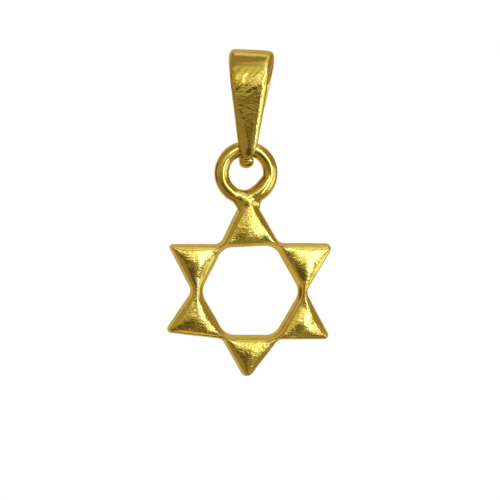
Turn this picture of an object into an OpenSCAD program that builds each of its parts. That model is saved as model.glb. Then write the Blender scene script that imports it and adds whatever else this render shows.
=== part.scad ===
// Six-pointed star pendant: a cast star frame with its hanging ring, on a tapered strap bail.
// X runs to the wearer's left as seen from the front, Y to the back and Z up.
// The origin is the inside top of the bail, where the chain bears.

/* [Star] */
// Reach of a star point from the centre, before its tip is rounded
star_reach = 7.7; // [6.8:0.1:9.5]
// From the centre of the six-sided hole to the middle of one of its sides
hole_apothem = 3.55; // [2.9:0.05:3.8]
// Radius of a typical rounded tip on the front face
tip_round = 0.15; // [0.04:0.01:0.3]
// Radius of the hollow corner between two points
notch_round = 0.75; // [0.3:0.05:1.2]
// Radius of the hole's six corners
hole_round = 1.3; // [0.5:0.05:2]
// Thickness of the metal along its edges
edge_depth = 1.2; // [0.9:0.05:1.4]
// How far the outer walls lean in from the back to the front
wall_lean = 0.12; // [0.04:0.01:0.2]
// How far the walls of the hole lean out from the back to the front
hole_lean = 0.3; // [0.1:0.02:0.3]
// Width of the rounded edge round the front face
edge_round = 0.08; // [0.05:0.01:0.15]
// Height of the soft shoulder that rises from the rounded edges
shoulder_h = 0.08; // [0.04:0.02:0.2]
// Width of the shoulder along the outer edges
shoulder_w = 0.4; // [0.2:0.05:0.6]
// Width of the shoulder along the hole
bank_w = 0.8; // [0.4:0.05:1.2]
// Height of the low pillow on top of the shoulders, in the middle of a point
pillow_h = 0.24; // [0.06:0.02:0.4]
// Distance from the edges at which the pillow is full
pillow_w = 1.4; // [1:0.05:2]
// How much thinner a typical point is at its tip than at the hole
tip_drop = 0.2; // [0:0.02:0.3]

/* [Ring] */
// Thickness of the ring's wire
wire_d = 1.18; // [0.8:0.02:1.4]
// Diameter of the circle that the middle of the wire follows
ring_d = 3.94; // [3.4:0.02:4.6]
// How far the ring stands to the left of the star's middle
ring_aside = 0.35; // [0:0.05:0.6]
// How far the ring hangs to the left of the hook's middle
ring_shift = 0.08; // [0:0.02:0.12]
// How deep the top point of the star runs into the ring from its outer edge
ring_sink = 1; // [0.8:0.02:1.1]
// Height of the solder that fills the corners between the ring and the top point
solder_drop = 0.45; // [0.2:0.05:0.8]

/* [Bail] */
// From the chain seat down to the middle of the ring's wire
bail_drop = 7.25; // [6:0.05:10]
// Radius of the top bend's inner face, over the chain
bend_r = 0.62; // [0.5:0.02:0.8]
// Radius of the inner face where the bend eases into the legs
ease_r = 3.2; // [2.8:0.1:3.8]
// Width of the strap where it passes over the chain
strap_top_w = 3.7; // [2.6:0.1:4.6]
// Width of the strap at the ring's wire
strap_foot_w = 1.5; // [1.1:0.05:1.8]
// Thickness of the strap
strap_t = 0.74; // [0.5:0.02:0.9]
// Thickness of the hook that passes under the wire
hook_t = 0.96; // [0.6:0.02:1.1]
// Clear space between the wire and the strap, in front of the wire and behind it
side_play = 0.28; // [0.26:0.01:0.4]
// Clear space between the wire and the hook that it hangs on
seat_play = 0.12; // [0.1:0.01:0.2]
// Lean of the bail to one side, in degrees
bail_lean = 3; // [0:0.5:6]
// Turn of the bail's top towards the left, in degrees
top_turn_angle = 13; // [0:1:20]
// Turn that is left at the ring's wire, in degrees
foot_turn_angle = 4; // [0:1:8]

/* [Hidden] */

GOLD = [0.85, 0.66, 0.22];

wire_r = wire_d / 2;
ring_r = ring_d / 2;

// The six points of the star, each a little different as hand-cut wax leaves them: [direction in
// degrees, share of star_reach, share of tip_round, share of tip_drop towards the tip, and the same
// towards the side that comes next round the star]
POINTS = [
    [28.5, 1.035, 1.7, 1.6, 1.4],
    [91.2, 1.085, 0.65, 0.8, 0],
    [150, 1.005, 0.6, -0.4, -0.3],
    [205.2, 1, 1, 1.8, 0],
    [267.8, 0.955, 2.2, 1.4, 0],
    [329.1, 1.01, 1, 0.9, 0.8]
];
TOP_INDEX = 1;

// The hollow corners between the points: [direction in degrees, share of a true hexagram's corner]
NOTCHES = [[-1.1, 1.035], [58.2, 1.025], [122.1, 1.015], [179.6, 1.06], [239.9, 1.01], [300.5, 1.035]];

// The corners of the hole: [direction in degrees, share of a true hexagon's corner]
HOLE_CORNERS = [[-1, 1.005], [61.4, 1.02], [121.6, 1.005], [180.2, 0.97], [240.4, 0.985], [299.5, 1.005]];

// Edge of the metal from back to front: [share of the lean, share of edge_round, share of edge_depth]
EDGE = [[0.5, 0, 0], [0, 0, 0.09], [1, 0, 0.76], [1, 0.45, 0.93], [1, 1, 1]];

// At a neck between two points: share by which the edges are lower, and share of the rise that is left
NECK_DROP_SHARE = 0.03;
NECK_RISE_SHARE = 0.5;

NOTCH_STEPS = 3;
TIP_STEPS = 4;
LINE_STEPS = 5;
FACE_STEPS = 8;

// Share of a hole side's length that faces the rounded tip
TIP_SHARE = 0.06;

function direction(angle) = [cos(angle), sin(angle)];
function unit(v) = v / norm(v);
function outward(d) = [d[1], -d[0]];
function mix(a, b, t) = a + (b - a) * t;
function turn_between(a, b) = atan2(a[0] * b[1] - a[1] * b[0], a * b);

// Rounded corner of an outline that runs anticlockwise, as [point, outward normal] pairs.
// A hollow corner has a negative radius.
function corner(before, here, after, radius, steps) =
    let (
        n1 = outward(unit(here - before)),
        n2 = outward(unit(after - here)),
        centre = here - radius * (n1 + n2) / (1 + n1 * n2),
        start = atan2(n1[1], n1[0]),
        sweep = turn_between(n1, n2)
    )
    [for (i = [0:steps]) let (n = direction(start + sweep * i / steps)) [centre + radius * n, n]];

// Evenly spaced pairs between two pairs of one straight edge, ends left out
function between(a, b, steps) = [for (i = [1:steps - 1]) [mix(a[0], b[0], i / steps), a[1]]];

tips = [for (p = POINTS) star_reach * p[1] * direction(p[0])];
notches = [for (n = NOTCHES) star_reach / sqrt(3) * n[1] * direction(n[0])];
hole_corners = [for (c = HOLE_CORNERS) hole_apothem / cos(30) * c[1] * direction(c[0])];

// Radius of a tip at the back, so that tip_round is left of it on the front face
function tip_radius(point) = wall_lean + edge_round + tip_round * point[2];

// Outer outline, one sector after another: the hollow corner, an edge, the tip, an edge
outer_outline = [
    for (i = [0:5])
        let (
            j = (i + 1) % 6,
            h = (i + 5) % 6,
            hollow = corner(tips[h], notches[i], tips[i], -notch_round, NOTCH_STEPS),
            tip = corner(notches[i], tips[i], notches[j], tip_radius(POINTS[i]), TIP_STEPS),
            next = corner(tips[i], notches[j], tips[j], -notch_round, NOTCH_STEPS)
        )
        each concat(
            hollow,
            between(hollow[NOTCH_STEPS], tip[0], LINE_STEPS),
            tip,
            between(tip[TIP_STEPS], next[0], LINE_STEPS)
        )
];

// Where each pair of the outer edges and the tip stands along the side of the hole that it faces
side_shares = concat(
    [for (i = [1:LINE_STEPS - 1]) (1 - TIP_SHARE) / 2 * i / LINE_STEPS],
    [for (i = [0:TIP_STEPS]) (1 - TIP_SHARE) / 2 + TIP_SHARE * i / TIP_STEPS],
    [for (i = [1:LINE_STEPS - 1]) (1 + TIP_SHARE) / 2 + (1 - TIP_SHARE) / 2 * i / LINE_STEPS]
);

// Outline of the hole, with one pair for each pair of the outer outline
hole_outline = [
    for (i = [0:5])
        let (
            j = (i + 1) % 6,
            h = (i + 5) % 6,
            k = (i + 2) % 6,
            here = corner(hole_corners[h], hole_corners[i], hole_corners[j], hole_round, NOTCH_STEPS),
            next = corner(hole_corners[i], hole_corners[j], hole_corners[k], hole_round, NOTCH_STEPS),
            a = here[NOTCH_STEPS],
            b = next[0]
        )
        each concat(here, [for (t = side_shares) [mix(a[0], b[0], t), a[1]]])
];

// 0 at a neck and 1 well inside a point, for each pair of a sector
fullness = concat(
    [for (i = [0:NOTCH_STEPS]) 0],
    [for (t = side_shares) pow(sin(180 * t), 0.8)]
);

// Distance from a place to the line through two others
function off_line(p, a, b) = abs(outward(unit(b - a)) * (p - a));

// Rises steeply from 0 and rounds over to 1 at a width
function rounded(d, width) = 1 - pow(1 - min(1, max(0, d) / width), 2);

// Height of the face of point i over its edges: a shoulder with a pillow on top
function face_rise(i, p) =
    let (
        j = (i + 1) % 6,
        d0 = off_line(p, tips[i], notches[i]) - wall_lean - edge_round,
        d1 = off_line(p, tips[i], notches[j]) - wall_lean - edge_round,
        d2 = off_line(p, hole_corners[i], hole_corners[j]) - hole_lean - edge_round
    )
    shoulder_h * rounded(d0, shoulder_w) * rounded(d1, shoulder_w) * rounded(d2, bank_w)
        + pillow_h * rounded(d0, pillow_w) * rounded(d1, pillow_w) * rounded(d2, pillow_w);

// The same at a neck, a share t of the way over a width
function neck_rise(t, width) =
    shoulder_h * rounded(t * width, shoulder_w) * rounded((1 - t) * width, bank_w)
        + pillow_h * 4 * t * (1 - t);

// How much the front of point i lies lower at a place, from the tilt of the point
function fall(i, p) =
    let (
        out = direction(POINTS[i][0]),
        along = p * out - hole_apothem,
        across = out[0] * p[1] - out[1] * p[0]
    )
    tip_drop * (POINTS[i][3] * along + POINTS[i][4] * across) / (star_reach - hole_apothem);

// One wall from back to front, from a place on an outline inwards into the metal, with its lean and depth
function wall(place, inwards, lean, depth) = [
    for (e = EDGE)
        let (p = place + (e[0] * lean + e[1] * edge_round) * inwards) [p[0], depth * e[2], p[1]]
];

// One closed section through the metal of point i, as [x, height over the back, z] points
function star_section(i, outer, hole, full) =
    let (
        depth = edge_depth * (1 - NECK_DROP_SHARE * (1 - full)),
        wall_out = wall(outer[0], -outer[1], wall_lean, depth - full * fall(i, outer[0])),
        wall_in = wall(hole[0], hole[1], hole_lean, depth - full * fall(i, hole[0])),
        a = wall_out[len(EDGE) - 1],
        b = wall_in[len(EDGE) - 1],
        width = norm([b[0] - a[0], b[2] - a[2]]),
        face = [
            for (k = [1:FACE_STEPS - 1])
                let (
                    t = (1 - cos(180 * k / FACE_STEPS)) / 2,
                    p = mix(a, b, t)
                )
                p + [0, mix(NECK_RISE_SHARE * neck_rise(t, width), face_rise(i, [p[0], p[2]]), full), 0]
        ],
        back = [for (i = [len(EDGE) - 1:-1:0]) wall_in[i]]
    )
    concat(wall_out, face, back);

// Skin over a row of rings of points, closed on itself or with flat ends
module skin(rings, closed) {
    n = len(rings);
    m = len(rings[0]);
    walls = [
        for (i = [0:(closed ? n : n - 1) - 1], j = [0:m - 1], half = [0, 1])
            let (a = i * m, b = ((i + 1) % n) * m, k = (j + 1) % m)
            half == 0 ? [a + j, a + k, b + j] : [a + k, b + k, b + j]
    ];
    first = [for (j = [1:m - 2]) [0, j + 1, j]];
    last = [for (j = [1:m - 2]) [(n - 1) * m, (n - 1) * m + j, (n - 1) * m + j + 1]];
    polyhedron(
        points = [for (ring = rings) each ring],
        faces = closed ? walls : concat(walls, first, last),
        convexity = 8
    );
}

// Places worked out from the chain seat down
wire_spot = [-bail_drop * sin(bail_lean), 0, -bail_drop * cos(bail_lean)];
ring_spot = wire_spot - [ring_shift, 0, ring_r];
top_tip_z = max([for (pair = outer_outline) pair[0][1]]);
star_spot = ring_spot + [ring_aside, 0, ring_sink - ring_r - wire_r - top_tip_z];

// The star's flat back lies a little behind the ring's wire
BACK_COVER = 0.03;
star_back = wire_r + BACK_COVER;

// Solder: how far to each side of the ring's foot it runs, its thickness up there and down on
// the star, and how far it stays inside the ring's edge
SOLDER_ANGLE = 25;
SOLDER_TOP_R = wire_r * 0.72;
SOLDER_LOW_R = wire_r * 0.5;
SOLDER_SINK = 0.03;

module star_frame() {
    count = len(fullness);
    rings = [
        for (i = [0:len(outer_outline) - 1])
            let (full = fullness[i % count], sector = floor(i / count))
            [for (p = star_section(sector, outer_outline[i], hole_outline[i], full))
                star_spot + [p[0], star_back - p[1], p[2]]]
    ];
    skin(rings, true);
}

module hanging_ring() {
    translate(ring_spot) rotate([90, 0, 0]) rotate_extrude($fn = 96)
        translate([ring_r, 0]) circle(d = wire_d, $fn = 48);
}

// Place on the star's outline at a height over its middle, on the edge between a tip and a hollow corner
function on_edge(tip, notch, z) = mix(tip, notch, (z - tip[1]) / (notch[1] - tip[1]));

// Solder in the two corners where the ring meets the top point: two short cones, whose ends lie
// inside the ring and inside the star
module solder() {
    z = ring_spot[2] - ring_r - wire_r - solder_drop - star_spot[2];
    on_ring = ring_r + wire_r - SOLDER_TOP_R - SOLDER_SINK;
    for (side = [0, 1]) {
        angle = 270 + (side ? -1 : 1) * SOLDER_ANGLE;
        inward = (side ? 1 : -1) * (SOLDER_LOW_R + wall_lean);
        edge = on_edge(tips[TOP_INDEX], notches[TOP_INDEX + side], z);
        high = ring_spot + on_ring * [cos(angle), 0, sin(angle)];
        low = star_spot + [edge[0] + inward, 0, z];
        run = low - high;
        translate(high) rotate([0, atan2(run[0], run[2]), 0])
            cylinder(h = norm(run), r1 = SOLDER_TOP_R, r2 = SOLDER_LOW_R, $fn = 48);
    }
}

module star() {
    color(GOLD) union() {
        star_frame();
        hanging_ring();
        solder();
    }
}

// The bail before it leans and turns. Its inner face runs up the front leg, over the chain,
// down the back leg and round under the wire.
hook_r = wire_r + side_play;
hook_z = -bail_drop + side_play - seat_play;

// Where the top bend hands over to the wider curve that eases into a leg, as the angle of the
// normal there, and how far that curve's centre lies beyond the middle and its height
EASE_ANGLE = 38;
ease_across = (ease_r - bend_r) * cos(EASE_ANGLE);
ease_z = -bend_r - (ease_r - bend_r) * sin(EASE_ANGLE);

// Slope of the straight legs, which touch the wider curve and the hook's circle
leg_slope = atan2(ease_z - hook_z, ease_across)
    - acos((ease_r - hook_r) / norm([ease_z - hook_z, ease_across]));

// Length of the front leg's rounded foot, how far it stops short of the hook's inner face, and how
// far it reaches below the wire's middle
FOOT_LENGTH = 1.4;
FOOT_GAP = 0.06;
foot_drop = hook_r - FOOT_GAP;

// The front leg's rounded foot: [share of its length, share of the width, share of the thickness]
FOOT = [[0, 0.18, 0.5], [0.07, 0.44, 0.74], [0.19, 0.66, 0.88], [0.36, 0.8, 0.96], [0.62, 0.91, 1]];

// The hook: [share of its sweep, share of strap_foot_w, share of hook_t, roundness of the section]
HOOK = [
    [0, 0.84, 0.84, 0.4],
    [0.18, 0.82, 0.9, 0.6],
    [0.36, 0.8, 0.97, 0.8],
    [0.54, 0.77, 1, 1],
    [0.7, 0.79, 0.96, 1],
    [0.84, 0.81, 0.84, 0.9],
    [0.94, 0.8, 0.68, 0.8],
    [1, 0.74, 0.5, 0.7]
];
HOOK_SWEEP_ANGLE = 120;

// The left side of the front leg is filed down, more and more towards the foot: where that starts, as
// a share of the drop, and the slope of the filed side
FILED_START_SHARE = 0.3;
FILED_SLOPE_RATIO = 0.32;
function filed_share(z) =
    let (t = min(1, max(0, (-z / bail_drop - FILED_START_SHARE) / (1 - FILED_START_SHARE))))
    t * t * (3 - 2 * t);

LEG_STEPS = 3;
EASE_STEPS = 4;
BEND_STEPS = 6;
BACK_STEPS = 5;

// Right half of the strap's section, from its inner edge to the middle of its face:
// [share of the half width, share of the thickness]. The sides are bevelled and the face is a low dome.
STRAP_SECTION = [
    [0.9, 0], [1, 0.12], [0.985, 0.42], [0.93, 0.73], [0.87, 0.89], [0.73, 0.965], [0.4, 0.995]
];

// Width of the tapered strap at a height
function strap_width(z) = mix(strap_foot_w, strap_top_w, max(0, (z + bail_drop) / bail_drop));

// Point on the inner face at a normal angle about a centre, in the plane of the loop
function on_arc(r, z, angle, y = 0) = [y + r * cos(angle), z + r * sin(angle)];

// Stations of the strap: [point on the inner face, angle of its outward normal, width, thickness,
// roundness, share by which the left side is filed down]
front_top = on_arc(ease_r, ease_z, 180 + leg_slope, ease_across);
back_top = on_arc(ease_r, ease_z, -leg_slope, -ease_across);
front_wire = on_arc(hook_r, hook_z, 180 + leg_slope);
leg_down = unit(front_wire - front_top);
foot_end = front_top + leg_down * (front_top[1] + bail_drop + foot_drop);

foot_stations = [
    for (f = FOOT)
        let (p = foot_end - leg_down * FOOT_LENGTH * f[0])
        [p, 180 + leg_slope, f[1] * strap_width(p[1]), f[2] * strap_t, 0, filed_share(p[1])]
];
leg_stations = [
    for (i = [0:LEG_STEPS - 1])
        let (p = mix(foot_end - leg_down * FOOT_LENGTH, front_top, i / LEG_STEPS))
        [p, 180 + leg_slope, strap_width(p[1]), strap_t, 0, filed_share(p[1])]
];
front_ease_stations = [
    for (i = [0:EASE_STEPS - 1])
        let (
            a = mix(180 + leg_slope, 180 - EASE_ANGLE, i / EASE_STEPS),
            p = on_arc(ease_r, ease_z, a, ease_across)
        )
        [p, a, strap_width(p[1]), strap_t, 0, filed_share(p[1])]
];
bend_stations = [
    for (i = [0:BEND_STEPS])
        let (a = mix(180 - EASE_ANGLE, EASE_ANGLE, i / BEND_STEPS), p = on_arc(bend_r, -bend_r, a))
        [p, a, strap_width(p[1]), strap_t, 0, 0]
];
back_ease_stations = [
    for (i = [1:EASE_STEPS])
        let (
            a = mix(EASE_ANGLE, -leg_slope, i / EASE_STEPS),
            p = on_arc(ease_r, ease_z, a, -ease_across)
        )
        [p, a, strap_width(p[1]), strap_t, 0, 0]
];
back_stations = [
    for (i = [1:BACK_STEPS])
        let (
            t = i / (BACK_STEPS + 1),
            p = mix(back_top, on_arc(hook_r, hook_z, -leg_slope), t),
            narrow = 1 - (1 - HOOK[0][1]) * pow(t, 3)
        )
        [p, -leg_slope, strap_width(p[1]) * narrow, strap_t, HOOK[0][3] * pow(t, 3), 0]
];
hook_stations = [
    for (h = HOOK)
        let (a = -leg_slope - HOOK_SWEEP_ANGLE * h[0])
        [on_arc(hook_r, hook_z, a), a, strap_foot_w * h[1], hook_t * h[2], h[3], 0]
];

// One section of the strap, as [across, outward] points. Roundness 0 keeps the bevelled section
// and 1 makes it nearly oval.
function strap_section(width, thickness, roundness) =
    let (
        last = len(STRAP_SECTION) - 1,
        half = [
            for (i = [0:last])
                let (
                    s = STRAP_SECTION[i],
                    a = mix(-60, 90, i / (last + 1)),
                    q = mix(s, [cos(a), i == 0 ? 0 : (1 + sin(a)) / 2], roundness)
                )
                [width / 2 * q[0], thickness * q[1]]
        ]
    )
    concat(half, [[0, thickness]], [for (i = [last:-1:0]) [-half[i][0], half[i][1]]]);

// Files down the left side of a section, as far as a ridge that runs in towards the middle
function filed(q, width, share) =
    let (low = FILED_SLOPE_RATIO * sqrt(share) * max(0, -width / 2 * (1 - share) - q[0]))
    [q[0], q[1] - low * min(1, q[1] / strap_t)];

// Turns a point about the bail's long axis by as much as its height asks
function turned(p) =
    let (a = -mix(foot_turn_angle, top_turn_angle, min(1, (p[2] + bail_drop) / bail_drop)))
    [p[0] * cos(a) - p[1] * sin(a), p[0] * sin(a) + p[1] * cos(a), p[2]];

module bail() {
    stations = concat(
        foot_stations, leg_stations, front_ease_stations, bend_stations,
        back_ease_stations, back_stations, hook_stations
    );
    rings = [
        for (s = stations)
            [for (q = strap_section(s[2], s[3], s[4]))
                let (f = filed(q, s[2], s[5]), yz = s[0] + f[1] * direction(s[1]))
                turned([f[0], yz[0], yz[1]])]
    ];
    color(GOLD) rotate([0, bail_lean, 0]) skin(rings, false);
}

bail();
star();
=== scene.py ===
import math

import bpy
import numpy as np
from mathutils import Matrix, Vector, noise


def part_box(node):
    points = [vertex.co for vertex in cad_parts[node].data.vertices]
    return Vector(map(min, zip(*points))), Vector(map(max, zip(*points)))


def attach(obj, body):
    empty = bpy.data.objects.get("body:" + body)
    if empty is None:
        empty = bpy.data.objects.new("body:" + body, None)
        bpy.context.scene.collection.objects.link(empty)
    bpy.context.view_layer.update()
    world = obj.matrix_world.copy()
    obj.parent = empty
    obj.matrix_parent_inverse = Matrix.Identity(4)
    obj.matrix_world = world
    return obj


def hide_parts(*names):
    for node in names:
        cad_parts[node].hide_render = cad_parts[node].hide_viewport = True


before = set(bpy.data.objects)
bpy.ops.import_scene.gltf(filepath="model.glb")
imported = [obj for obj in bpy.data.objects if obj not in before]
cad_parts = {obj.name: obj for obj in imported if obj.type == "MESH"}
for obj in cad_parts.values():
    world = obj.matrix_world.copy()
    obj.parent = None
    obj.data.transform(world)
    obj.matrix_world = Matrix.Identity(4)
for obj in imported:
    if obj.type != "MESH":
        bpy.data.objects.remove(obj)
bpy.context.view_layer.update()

bl_info = {
    "name": "Six-Pointed Star Pendant",
    "version": (1, 0, 0),
    "blender": (4, 5, 0),
    "location": "3D View > Sidebar > Pendant",
    "description": "Builds a cast star with its ring, its strap bail, their gold and a small studio",
    "category": "Object",
}

MM = 0.001

# The six points of the star, each a little different as hand-cut wax leaves them: direction in
# degrees, share of the reach, share of the tip's radius, share of the fall towards the tip, and the
# same towards the side that comes next round the star
POINTS = np.array([
    [28.5, 1.035, 1.7, 1.6, 1.4],
    [91.2, 1.085, 0.65, 0.8, 0.0],
    [150.0, 1.005, 0.6, -0.4, -0.3],
    [205.2, 1.0, 1.0, 1.8, 0.0],
    [267.8, 0.955, 2.2, 1.4, 0.0],
    [329.1, 1.01, 1.0, 0.9, 0.8],
])
TOP_POINT = 1

# The hollow corners between the points: direction in degrees, share of a true hexagram's corner
NOTCHES = np.array([
    [-1.1, 1.035],
    [58.2, 1.025],
    [122.1, 1.015],
    [179.6, 1.06],
    [239.9, 1.01],
    [300.5, 1.035],
])

# The corners of the hole: direction in degrees, share of a true hexagon's corner
HOLE_CORNERS = np.array([
    [-1.0, 1.005],
    [61.4, 1.02],
    [121.6, 1.005],
    [180.2, 0.97],
    [240.4, 0.985],
    [299.5, 1.005],
])

# At a neck between two points: share by which the edges are lower, and share of the rise that is left
NECK_DROP = 0.03
NECK_RISE = 0.5

# How soon a point is at its full height beside a neck: the lower, the sooner
FULLNESS = 0.8

# Share of a hole side's length that faces the rounded tip
TIP_SHARE = 0.06

# The walls: how far the worn back edge stands in as a share of the lean, share of the depth at which the
# worn edge ends, and share at which the rounded front edge begins
BACK_INSET = 0.5
BACK_EDGE = 0.09
WALL_TOP = 0.76

# How the walls lean: 1 is straight, and above it they are upright at the back and lean more at the front
WALL_BULGE = 1.8

# Steps along the star's outline and across its metal
NOTCH_STEPS = 12
TIP_STEPS = 14
LINE_STEPS = 34
WALL_STEPS = 7
ROUND_STEPS = 7
FACE_STEPS = 56

# Steps round the ring, round its wire and round a bar or drop of solder, and rows of a drop
RING_STEPS = 180
WIRE_STEPS = 48
SOLDER_STEPS = 32
DROP_ROWS = 17

# Where the ring is fuller, at its foot and inside at the lower right: direction in degrees, cosine of the
# angle from there at which the swelling starts, and its share of the wire's half thickness
RING_FOOT = (270, 0.2, 0.03)
RING_FILL = (-48, 0.72, 0.16)

# Solder in the corners between the ring and the top point: its place on the ring in degrees from the foot,
# how far it starts below the wire's outer side, and its half thickness at both ends as shares of the wire's
SOLDER_ANGLE = 25
SOLDER_SINK = 0.03 * MM
SOLDER_TOP = 0.72
SOLDER_LOW = 0.5

# Drop of solder in front of the ring's foot: its place from the wire's middle, its radii, and the angle in
# degrees at which its cut ends begin
DROP_PLACE = Vector((0.12, -0.15, -0.28)) * MM
DROP_RADII = Vector((0.72, 0.58, 0.72)) * MM
DROP_END = 87

# Softening of the fused skin: share of the way that a round moves a point, rounds all over and the push
# back that keeps its size, then rounds near the ring's foot, in full up to one distance and fading out at
# another
SOFT_STEP = 0.5
SOFT_ROUNDS = 6
SOFT_BACK = 1.04
FOOT_ROUNDS = 60
FOOT_NEAR = 0.8 * MM
FOOT_FAR = 1.5 * MM

# Share by which the wrinkles are lower on the ring, and the height below its foot over which they fade
RING_CALM = 0.6
RING_CALM_FADE = 1.2 * MM

# Lumps of the skin, broad and fine: their size, and how far along a way through the noise they are taken
STAR_BROAD = (1.3 * MM, 1.0)
STAR_FINE = (0.42 * MM, 5.0)
BAIL_BROAD = (1.2 * MM, 9.0)
BAIL_FINE = (0.3 * MM, 14.0)
BAIL_RIPPLES = (0.36 * MM, 3.0)
NOISE_WAY = Vector((1, 2.7, -1.3))

# Right half of the strap's section, from its inner edge to the middle of its face:
# share of the half width, share of the thickness
STRAP_SECTION = np.array([
    [0.0, 0.0],
    [0.9, 0.0],
    [1.0, 0.12],
    [0.985, 0.42],
    [0.93, 0.73],
    [0.87, 0.89],
    [0.73, 0.965],
    [0.4, 0.995],
    [0.0, 1.0],
])

# Angle in degrees at which a rounded section leaves its flat inner side
OVAL_START = -60

# The front leg's rounded foot: share of its length, share of the width, share of the thickness
FOOT = np.array([
    [0, 0.18, 0.5],
    [0.07, 0.44, 0.74],
    [0.19, 0.66, 0.88],
    [0.36, 0.8, 0.96],
    [0.62, 0.91, 1],
    [1, 1, 1],
])

# The hook: share of its sweep, share of the foot's width, share of the hook's thickness, and roundness of
# the section, from the bevelled strap at 0 to nearly oval at 1
HOOK = np.array([
    [0, 0.84, 0.84, 0.4],
    [0.18, 0.82, 0.9, 0.6],
    [0.36, 0.8, 0.97, 0.8],
    [0.54, 0.77, 1, 1],
    [0.7, 0.79, 0.96, 1],
    [0.84, 0.81, 0.84, 0.9],
    [0.94, 0.8, 0.68, 0.8],
    [1, 0.74, 0.5, 0.7],
])
HOOK_SWEEP = 120

# How late the back leg narrows and rounds towards the hook: the higher, the later
HOOK_LATE = 3

# Steps round the strap's section, along its foot, each leg, each bend and the hook
SECTION_STEPS = 110
FOOT_STEPS = 40
LEG_STEPS = 60
BEND_STEPS = 40
HOOK_STEPS = 60

# How closely the foot's steps crowd towards its end
FOOT_CROWD = 1.6

# Rounds of smoothing round each section, and along the strap
SECTION_ROUNDS = 2
STRAP_ROUNDS = 3

# Rounding of the ridge where the filed side begins
RIDGE_ROUND = 0.16 * MM

# Where the strap's top bend hands over to the wider curve that eases into a leg, as the angle of the normal
EASE_ANGLE = 38

# The slanting ripples below the top bend: the heights at which they begin, are full, fade and end, and how
# far in front of the bail's middle they are full
RIPPLE_HEIGHTS = (-2.9 * MM, -2.1 * MM, -0.9 * MM, -0.4 * MM)
RIPPLE_FADE = 0.5 * MM

# Stretches the ripples along a line that rises to the right
SLANT = np.array(Matrix.Rotation(math.radians(-50), 3, "Y") @ Matrix.Diagonal((0.35, 1, 1)))

# A piece's wrinkled face: azimuth and elevation of the way it looks, degrees from there beyond which the
# skin has been rubbed smooth, height over which it is smooth in mm, and share of the skin's depth
BAIL_FACE = (-9, 6, 15, -0.9, 0.85)
STAR_FACE = (-3, 0, 24, -11.2, 1.1)

LACQUER_ROUGHNESS = 0.08

# Noises of the skin, over millimetres: scale, detail and roughness
PEEL_NOISE = (3.2, 1.5, 0.5)
GRAIN_NOISE = (5.5, 3.0, 0.65)
PATCH_NOISE = (0.55, 1.0, 0.5)
MARK_NOISE = (1.0, 2.0, 0.5)

# Turn and stretch of the peel and grain, stretch of the file marks, and the two ways in which the marks
# run: turn, and where in the noise they are taken
SKIN_TURN = (0, 0.35, 0)
SKIN_STRETCH = (0.75, 1.0, 1.15)
MARK_STRETCH = (1.3, 1.3, 9.0)
MARK_WAYS = ((0.5, 3.0), (-0.7, 11.0))

# Share of the wrinkles left on rubbed metal, and the change in cosine over which they come back
RUBBED_SHARE = 0.08
RUBBED_SOFT = 0.03

# Ramps in the skin: the two ends of what goes in and, where they aren't 0 and 1, of what comes out
MARKS_TURN = (0.42, 0.58)                   # patches, to one way of the marks or the other
WRINKLED_PATCHES = (0.38, 0.56, 0.45, 1.0)  # patches, to the share of the wrinkles
WRINKLED_BELOW = (-0.3, 0.5, 1.0, 0.3)      # mm over the smooth height, to the share of the wrinkles
DULL_PEEL = (0.35, 0.7)                     # peel, to the share of the dullness
DEEP_PATCHES = (0.4, 0.65)                  # patches, to the share of the deep gold
GRAIN_PIT_SHADE = (0.5, 0.36, 0.0, 0.3)          # grain, to the share of the darker gold painted as shade in the pits

# Sockets of a colour mix, which has several of the same name
MIX_A = 6
MIX_B = 7
MIX_RESULT = 2

# Cards of the tent as the camera sees them from the pendant: azimuth, elevation, half width of the even
# part and of the whole with its soft edge, all in degrees, and colour. Later cards hang in front
CARDS = [
    (180, 0, 60, 84, (0.97, 0.9, 0.78)),         # the white behind the pendant
    (-104, 0, 14, 28, (0.25, 0.2, 0.12)),        # dark edge at the left
    (-73, 0, 4, 12, (0.85, 0.75, 0.5)),
    (0, -100, 18, 30, (0.22, 0.17, 0.1)),        # dark edge below
    (0, -70, 5, 12, (1.15, 1.05, 0.75)),
    (-42, 10, 14, 26, (0.66, 0.56, 0.34)),       # tan side at the left
    (110, 10, 26, 44, (0.56, 0.46, 0.28)),       # tan side at the right
    (76, -12, 14, 28, (1.6, 1.95, 2.4)),         # cool light at the lower right
    (40, 62, 18, 36, (1.05, 1.15, 1.25)),        # cool light above, at the right
    (76, 28, 15, 30, (0.46, 0.38, 0.21)),
    (22, 32, 8, 26, (1.5, 1.72, 1.85)),
    (-7, 20, 14, 28, (1.05, 1.12, 0.75)),        # golden light on the bail below its bend
    (3, 14, 3, 10, (3.4, 4.0, 6.2)),             # bright spot in it
    (-14, 66, 8, 14, (0.45, 0.38, 0.24)),        # olive band across the bail's bend
    (-10, 88, 8, 17, (1.25, 1.2, 2.2)),          # pale band along the bail's top
    (-8, -28, 12, 22, (0.12, 0.1, 0.06)),        # shade on the bail's leg
]

# Soft boxes: name, azimuth, elevation, distance, width and height, radiance and colour
BOXES = [
    ("strip_wide", 29, 9, 0.6, 0.24, 0.64, 0.6, (0.62, 0.78, 1.0)),
    ("strip_middle", 29, 8, 0.59, 0.17, 0.58, 1.3, (0.6, 0.78, 1.0)),
    ("strip_core", 31, 5, 0.58, 0.09, 0.54, 11.0, (0.36, 0.52, 1.0)),
]


def direction(angles):
    """Unit vectors for angles in degrees."""
    a = np.radians(angles)
    return np.stack([np.cos(a), np.sin(a)], axis=-1)


def circle(steps):
    """Unit vectors all the way round, from angle 0."""
    return direction(360 * np.arange(steps) / steps)


def unit(v):
    return v / np.linalg.norm(v)


def outward(d):
    """Normal on the right of a direction, which is the outside of an outline that runs anticlockwise."""
    return np.array([d[1], -d[0]])


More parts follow.
